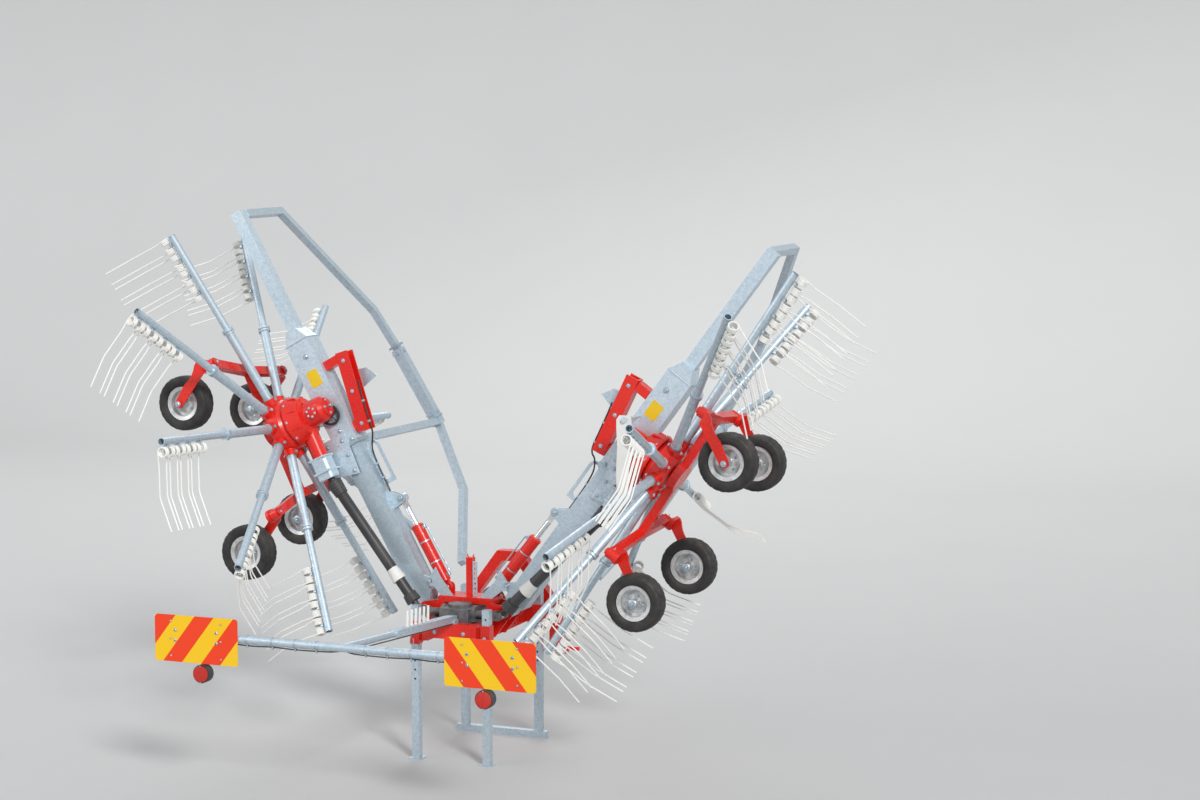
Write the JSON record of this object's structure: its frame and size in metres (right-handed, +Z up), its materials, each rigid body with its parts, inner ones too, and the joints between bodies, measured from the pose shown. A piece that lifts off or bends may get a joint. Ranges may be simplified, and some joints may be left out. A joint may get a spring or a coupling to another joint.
{
  "type": "twin rotor hay rake",
  "caption": "Mounted rake for hay with a rotor on each folding side arm, tine arms with spring tines, castor wheels, guards, parking legs and rear warning boards.",
  "frame": {"origin": "middle of the bottom of the box round the whole machine, on the floor", "axes": "+X to the machine's right, +Y forward towards the three-point linkage, +Z up"},
  "size_m": [5.034, 3.395, 3.5615],
  "materials": {
    "red_paint": "gloss paint with light dust",
    "galvanised": "dull hot-dip galvanised",
    "grey_casting": "painted casting",
    "black_plastic": "matt",
    "tine_wire": "cream painted spring wire",
    "bright_rod": "polished",
    "rim_silver": "satin silver paint",
    "tyre_rubber": "matt",
    "white_plastic": "satin white plastic strip",
    "board_yellow": "reflective yellow with red stripes",
    "lamp_red": "gloss"
  },
  "bodies": {
    "frame": {"headstock": "red_paint", "centre_frame": "red_paint", "centre_gearbox": "grey_casting", "lock_hooks": "galvanised", "guide_post": "red_paint", "light_arm": "galvanised", "warning_boards": "board_yellow", "rear_lamps": "lamp_red"},
    "leg_left": {"leg_left": "galvanised"},
    "leg_right": {"leg_right": "galvanised"},
    "front_stand": {"front_stand": "galvanised"},
    "unit_left": {"arm_beam_left": "galvanised", "arm_head_left": "galvanised", "guard_left": "galvanised", "drive_shaft_left": "black_plastic", "gearbox_left": "red_paint", "setting_channel_left": "red_paint", "undercarriage_left": "red_paint"},
    "barrel_left": {"fold_barrel_left": "red_paint"},
    "rod_left": {"fold_rod_left": "bright_rod"},
    "rotor_left": {"rotor_hub_left": "red_paint", "tine_arms_left": "galvanised", "tines_left": "tine_wire"},
    "castor_left_1": {"castor_left_1": "red_paint"},
    "wheel_left_1": {"rim_left_1": "rim_silver", "tyre_left_1": "tyre_rubber"},
    "castor_left_2": {"castor_left_2": "red_paint"},
    "wheel_left_2": {"rim_left_2": "rim_silver", "tyre_left_2": "tyre_rubber"},
    "castor_left_3": {"castor_left_3": "red_paint"},
    "wheel_left_3": {"rim_left_3": "rim_silver", "tyre_left_3": "tyre_rubber"},
    "castor_left_4": {"castor_left_4": "red_paint"},
    "wheel_left_4": {"rim_left_4": "rim_silver", "tyre_left_4": "tyre_rubber"},
    "unit_right": {"arm_beam_right": "galvanised", "arm_head_right": "galvanised", "guard_right": "galvanised", "drive_shaft_right": "black_plastic", "gearbox_right": "red_paint", "setting_channel_right": "red_paint", "undercarriage_right": "red_paint", "flap_right": "white_plastic"},
    "barrel_right": {"fold_barrel_right": "red_paint"},
    "rod_right": {"fold_rod_right": "bright_rod"},
    "rotor_right": {"rotor_hub_right": "red_paint", "tine_arms_right": "galvanised", "tines_right": "tine_wire"},
    "castor_right_1": {"castor_right_1": "red_paint"},
    "wheel_right_1": {"rim_right_1": "rim_silver", "tyre_right_1": "tyre_rubber"},
    "castor_right_2": {"castor_right_2": "red_paint"},
    "wheel_right_2": {"rim_right_2": "rim_silver", "tyre_right_2": "tyre_rubber"},
    "castor_right_3": {"castor_right_3": "red_paint"},
    "wheel_right_3": {"rim_right_3": "rim_silver", "tyre_right_3": "tyre_rubber"},
    "castor_right_4": {"castor_right_4": "red_paint"},
    "wheel_right_4": {"rim_right_4": "rim_silver", "tyre_right_4": "tyre_rubber"}
  },
  "joints": [
    {"name": "fold_left", "type": "hinge", "parent": "frame", "child": "unit_left", "pos_m": [-0.4459, 0.1505, 0.95], "axis": [0, -1, 0], "range_deg": [0, 64.6]},
    {"name": "barrel_tilt_left", "type": "hinge", "parent": "frame", "child": "barrel_left", "pos_m": [-0.3309, 0.1705, 1.08], "axis": [0, -1, 0], "range_deg": [0, 63.3]},
    {"name": "rod_slide_left", "type": "slide", "parent": "barrel_left", "child": "rod_left", "axis": [-0.4994, 0, 0.8664], "range_m": [0, 0.184]},
    {"name": "rotor_turn_left", "type": "hinge", "parent": "unit_left", "child": "rotor_left", "pos_m": [-1.07643, -0.0195, 2.2779], "axis": [0.9033, 0, 0.4289], "continuous": true},
    {"name": "swivel_left_1", "type": "hinge", "parent": "unit_left", "child": "castor_left_1", "pos_m": [-1.30377, -0.4195, 2.75667], "axis": [0.9033, 0, 0.4289], "continuous": true},
    {"name": "spin_left_1", "type": "hinge", "parent": "castor_left_1", "child": "wheel_left_1", "pos_m": [-1.935, -0.4195, 2.29089], "axis": [0, 1, 0], "continuous": true},
    {"name": "swivel_left_2", "type": "hinge", "parent": "unit_left", "child": "castor_left_2", "pos_m": [-1.2523, 0.3805, 2.64827], "axis": [0.9033, 0, 0.4289], "continuous": true},
    {"name": "spin_left_2", "type": "hinge", "parent": "castor_left_2", "child": "wheel_left_2", "pos_m": [-1.88353, 0.3805, 2.18249], "axis": [0, 1, 0], "continuous": true},
    {"name": "swivel_left_3", "type": "hinge", "parent": "unit_left", "child": "castor_left_3", "pos_m": [-0.90057, 0.3805, 1.90754], "axis": [0.9033, 0, 0.4289], "continuous": true},
    {"name": "spin_left_3", "type": "hinge", "parent": "castor_left_3", "child": "wheel_left_3", "pos_m": [-1.5318, 0.3805, 1.44176], "axis": [0, 1, 0], "continuous": true},
    {"name": "swivel_left_4", "type": "hinge", "parent": "unit_left", "child": "castor_left_4", "pos_m": [-0.8491, -0.4195, 1.79914], "axis": [0.9033, 0, 0.4289], "continuous": true},
    {"name": "spin_left_4", "type": "hinge", "parent": "castor_left_4", "child": "wheel_left_4", "pos_m": [-1.48033, -0.4195, 1.33335], "axis": [0, 1, 0], "continuous": true},
    {"name": "fold_right", "type": "hinge", "parent": "frame", "child": "unit_right", "pos_m": [0.1241, 0.1505, 0.95], "axis": [0, 1, 0], "range_deg": [0, 56.5]},
    {"name": "barrel_tilt_right", "type": "hinge", "parent": "frame", "child": "barrel_right", "pos_m": [0.0091, 0.1705, 1.08], "axis": [0, 1, 0], "range_deg": [0, 54.3]},
    {"name": "rod_slide_right", "type": "slide", "parent": "barrel_right", "child": "rod_right", "axis": [0.6235, 0, 0.7818], "range_m": [0, 0.166]},
    {"name": "rotor_turn_right", "type": "hinge", "parent": "unit_right", "child": "rotor_right", "pos_m": [0.93545, -0.0195, 2.17581], "axis": [-0.8339, 0, 0.5519], "continuous": true},
    {"name": "swivel_right_1", "type": "hinge", "parent": "unit_right", "child": "castor_right_1", "pos_m": [1.22797, -0.4195, 2.61777], "axis": [-0.8339, 0, 0.5519], "continuous": true},
    {"name": "spin_right_1", "type": "hinge", "parent": "castor_right_1", "child": "wheel_right_1", "pos_m": [1.78728, -0.4195, 2.0677], "axis": [0, 1, 0], "continuous": true},
    {"name": "swivel_right_2", "type": "hinge", "parent": "unit_right", "child": "castor_right_2", "pos_m": [1.16174, 0.3805, 2.51771], "axis": [-0.8339, 0, 0.5519], "continuous": true},
    {"name": "spin_right_2", "type": "hinge", "parent": "castor_right_2", "child": "wheel_right_2", "pos_m": [1.72104, 0.3805, 1.96763], "axis": [0, 1, 0], "continuous": true},
    {"name": "swivel_right_3", "type": "hinge", "parent": "unit_right", "child": "castor_right_3", "pos_m": [0.70915, 0.3805, 1.83392], "axis": [-0.8339, 0, 0.5519], "continuous": true},
    {"name": "spin_right_3", "type": "hinge", "parent": "castor_right_3", "child": "wheel_right_3", "pos_m": [1.26845, 0.3805, 1.28384], "axis": [0, 1, 0], "continuous": true},
    {"name": "swivel_right_4", "type": "hinge", "parent": "unit_right", "child": "castor_right_4", "pos_m": [0.64292, -0.4195, 1.73385], "axis": [-0.8339, 0, 0.5519], "continuous": true},
    {"name": "spin_right_4", "type": "hinge", "parent": "castor_right_4", "child": "wheel_right_4", "pos_m": [1.20222, -0.4195, 1.18378], "axis": [0, 1, 0], "continuous": true},
    {"name": "leg_slide_left", "type": "slide", "parent": "frame", "child": "leg_left", "axis": [0, 0, 1], "range_m": [0, 0.54]},
    {"name": "leg_slide_right", "type": "slide", "parent": "frame", "child": "leg_right", "axis": [0, 0, 1], "range_m": [0, 0.54]},
    {"name": "front_stand_slide", "type": "slide", "parent": "frame", "child": "front_stand", "axis": [0, 0, 1], "range_m": [0, 0.45]}
  ],
  "couplings": [
    {"joint": "barrel_tilt_left", "follows": "fold_left", "ratio": 0.9726},
    {"joint": "rod_slide_left", "follows": "fold_left", "m_per_rad": 0.1608},
    {"joint": "barrel_tilt_right", "follows": "fold_right", "ratio": 0.9519},
    {"joint": "rod_slide_right", "follows": "fold_right", "m_per_rad": 0.1654}
  ]
}
